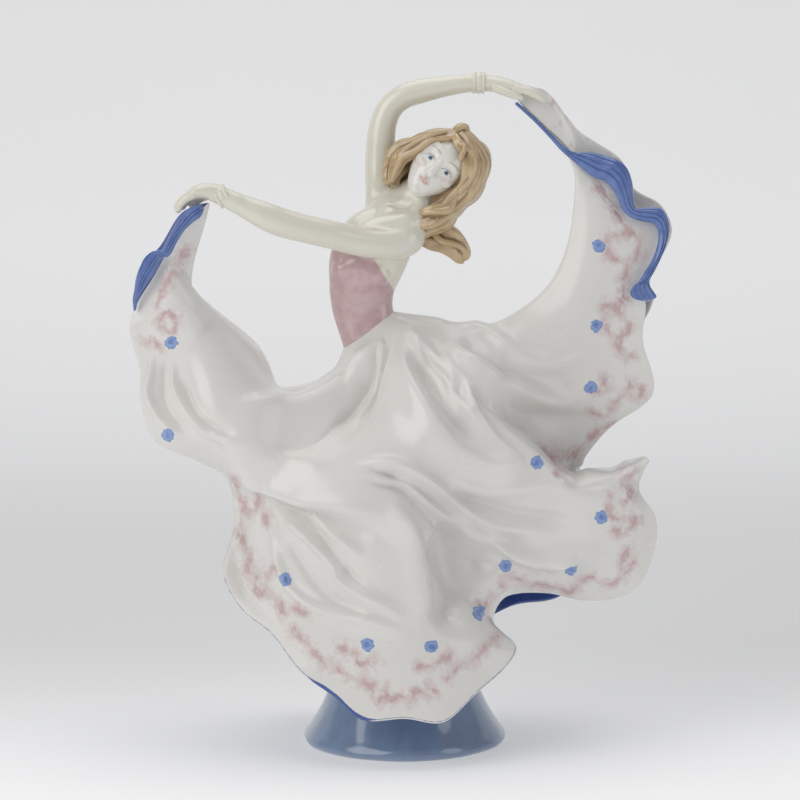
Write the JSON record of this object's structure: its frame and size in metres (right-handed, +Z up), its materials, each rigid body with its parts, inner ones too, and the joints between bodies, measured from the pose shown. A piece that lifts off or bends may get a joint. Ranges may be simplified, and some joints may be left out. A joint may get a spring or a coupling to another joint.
{
  "type": "porcelain dancer figurine",
  "caption": "Glazed porcelain figurine of a dancer leaning back and holding up the hem of a wide swirling skirt, on a round flared plinth.",
  "frame": {"origin": "centre of the plinth's foot, on the surface that it stands on", "axes": "+Z up, -Y the front that faces the viewer, +X the viewer's right"},
  "size_m": [0.242, 0.1201, 0.3033],
  "materials": {
    "white_glaze": "clear gloss glaze over white porcelain, blue and pink painted border",
    "skin_glaze": "gloss glaze, warm cream",
    "pink_glaze": "gloss glaze, mauve pink",
    "blue_glaze": "gloss glaze, cobalt blue",
    "slate_glaze": "gloss glaze, slate blue",
    "hair_glaze": "gloss glaze, light tan"
  },
  "bodies": {
    "root": {"base_plinth": "slate_glaze", "inner_stem": "white_glaze", "skirt_left_wing": "white_glaze", "skirt_front_apron": "white_glaze", "skirt_right_flounce": "white_glaze", "skirt_right_wing": "white_glaze", "skirt_back_right": "white_glaze", "skirt_back_center": "white_glaze", "skirt_back_left": "white_glaze", "left_hem_turnback": "blue_glaze", "right_hem_turnback": "blue_glaze", "bodice": "pink_glaze", "shoulders": "skin_glaze", "head": "skin_glaze", "hair_cap": "hair_glaze", "hair_front_waves": "hair_glaze", "hair_side_lock": "hair_glaze", "hair_tail": "hair_glaze", "hair_top_curl": "hair_glaze", "left_arm": "skin_glaze", "left_bracelet": "skin_glaze", "left_hand": "skin_glaze", "right_arm": "skin_glaze", "right_bracelet": "skin_glaze", "right_hand": "skin_glaze"}
  },
  "joints": []
}
